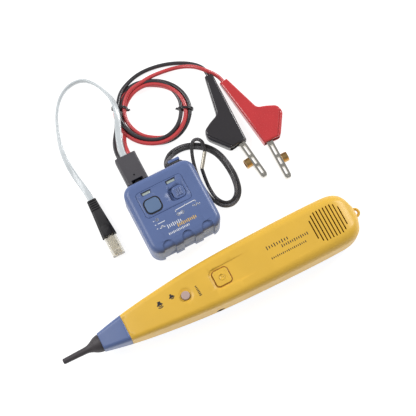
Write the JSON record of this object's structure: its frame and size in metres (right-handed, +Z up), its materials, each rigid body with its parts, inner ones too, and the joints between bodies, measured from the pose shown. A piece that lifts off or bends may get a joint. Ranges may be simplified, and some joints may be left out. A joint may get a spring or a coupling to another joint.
{
  "type": "tone probe kit",
  "caption": "Tone sender box with clip leads, flat plug lead and lanyard, and a tapered hand-held tone probe with speaker, buttons and volume wheel.",
  "frame": {"origin": "centre of the toner's flat back, on the surface that the kit lies on", "axes": "+X along the probe from its tip to its hanging ring, +Y from the toner towards its lanyard lug, +Z up off the surface"},
  "size_m": [0.2489, 0.2189, 0.032],
  "materials": {
    "blue_plastic": "satin moulded ABS",
    "yellow_plastic": "satin moulded ABS",
    "button_blue": "satin elastomer-feel plastic",
    "black_plastic": "satin",
    "tip_plastic": "matt conductive plastic",
    "black_rubber": "matt",
    "clear_plastic": "clear polycarbonate",
    "lens": "translucent",
    "grey_button": "satin",
    "red_vinyl": "glossy soft vinyl",
    "black_vinyl": "glossy soft vinyl",
    "white_cable": "satin flat cable jacket",
    "black_cord": "braided cord",
    "nickel": "nickel-plated steel",
    "brass": "turned brass",
    "steel": "zinc-plated screws",
    "gold": "gold-plated contacts",
    "board": "circuit board with parts",
    "battery_case": "printed battery can, no lettering",
    "speaker_frame": "speaker frame and cone"
  },
  "bodies": {
    "toner": {"toner_front_cover": "blue_plastic", "toner_back_cover": "blue_plastic", "toner_circuit_board": "board", "toner_mode_switch": "black_plastic", "toner_slide_switch": "black_plastic", "toner_button_seal": "black_rubber", "toner_mode_lens": "lens", "toner_test_lens": "lens", "toner_leds": "lens", "toner_battery": "battery_case", "toner_battery_snap": "black_plastic", "toner_case_screws": "steel", "toner_lead_gland": "black_rubber", "lead_junction_block": "black_plastic", "red_lead_in": "red_vinyl", "black_lead_in": "black_vinyl", "red_lead_out": "red_vinyl", "black_lead_out": "black_vinyl", "lead_coil": "black_vinyl", "coil_ties": "black_vinyl", "flat_cable": "white_cable", "plug_boot": "black_rubber", "plug_body": "clear_plastic", "plug_contacts": "gold", "red_clip_boot": "red_vinyl", "red_clip_fixed_jaw": "nickel", "red_clip_pin": "nickel", "red_clip_spring": "nickel", "black_clip_boot": "black_vinyl", "black_clip_fixed_jaw": "nickel", "black_clip_pin": "nickel", "black_clip_spring": "nickel", "lanyard_cord": "black_cord", "lanyard_ferrule": "steel"},
    "toner_mode_button": {"toner_mode_button": "button_blue"},
    "toner_slide_knob": {"toner_slide_knob": "blue_plastic"},
    "toner_battery_door": {"toner_battery_door": "blue_plastic"},
    "plug_latch": {"plug_latch": "clear_plastic"},
    "red_clip_jaw": {"red_clip_jaw": "nickel", "red_clip_nail_bed": "brass"},
    "black_clip_jaw": {"black_clip_jaw": "nickel", "black_clip_nail_bed": "brass"},
    "probe": {"probe_front_shell": "yellow_plastic", "probe_back_shell": "blue_plastic", "probe_nose": "blue_plastic", "probe_tip": "tip_plastic", "probe_antenna": "steel", "probe_circuit_board": "board", "probe_button_switches": "black_plastic", "probe_volume_pot": "black_plastic", "probe_speaker": "speaker_frame", "probe_battery": "battery_case", "probe_battery_snap": "black_plastic", "probe_earphone_jack": "black_plastic", "probe_case_screws": "steel"},
    "probe_power_button": {"probe_power_button": "yellow_plastic"},
    "probe_filter_button": {"probe_filter_button": "grey_button"},
    "probe_volume_wheel": {"probe_volume_wheel": "black_rubber"},
    "probe_battery_door": {"probe_battery_door": "blue_plastic"}
  },
  "joints": [
    {"name": "toner_mode_press", "type": "slide", "parent": "toner", "child": "toner_mode_button", "axis": [0, 0, -1], "range_m": [0, 0.0008], "stiffness_N_per_m": 150, "springref_m": -0.002},
    {"name": "toner_mode_slide", "type": "slide", "parent": "toner", "child": "toner_slide_knob", "axis": [-1, 0, 0], "range_m": [0, 0.0031]},
    {"name": "toner_door_slide", "type": "slide", "parent": "toner", "child": "toner_battery_door", "axis": [0, -1, 0], "range_m": [0, 0.012]},
    {"name": "plug_latch_press", "type": "hinge", "parent": "toner", "child": "plug_latch", "pos_m": [-0.0505, -0.0082, 0.007], "axis": [-1, 0, 0], "range_deg": [0, 9], "stiffness_Nm_per_rad": 0.02, "springref_deg": -5.73},
    {"name": "red_clip_open", "type": "hinge", "parent": "toner", "child": "red_clip_jaw", "pos_m": [0.09506, 0.02337, 0.0049], "axis": [0, 0, 1], "range_deg": [0, 18], "stiffness_Nm_per_rad": 0.05, "springref_deg": -11.46},
    {"name": "black_clip_open", "type": "hinge", "parent": "toner", "child": "black_clip_jaw", "pos_m": [0.07016, 0.03223, 0.0049], "axis": [0, 0, -1], "range_deg": [0, 18], "stiffness_Nm_per_rad": 0.05, "springref_deg": -11.46},
    {"name": "probe_lift", "type": "slide", "parent": "toner", "child": "probe", "axis": [0, 0, 1], "range_m": [0, 0.1]},
    {"name": "probe_power_press", "type": "slide", "parent": "probe", "child": "probe_power_button", "axis": [0, 0, -1], "range_m": [0, 0.0008], "stiffness_N_per_m": 150, "springref_m": -0.002},
    {"name": "probe_filter_press", "type": "slide", "parent": "probe", "child": "probe_filter_button", "axis": [0, 0, -1], "range_m": [0, 0.0008], "stiffness_N_per_m": 150, "springref_m": -0.002},
    {"name": "probe_volume_turn", "type": "hinge", "parent": "probe", "child": "probe_volume_wheel", "pos_m": [-0.039, -0.05836, 0.0162], "axis": [0, 0, 1], "range_deg": [-120, 120]},
    {"name": "probe_door_slide", "type": "slide", "parent": "probe", "child": "probe_battery_door", "axis": [1, 0, 0], "range_m": [0, 0.012]}
  ]
}
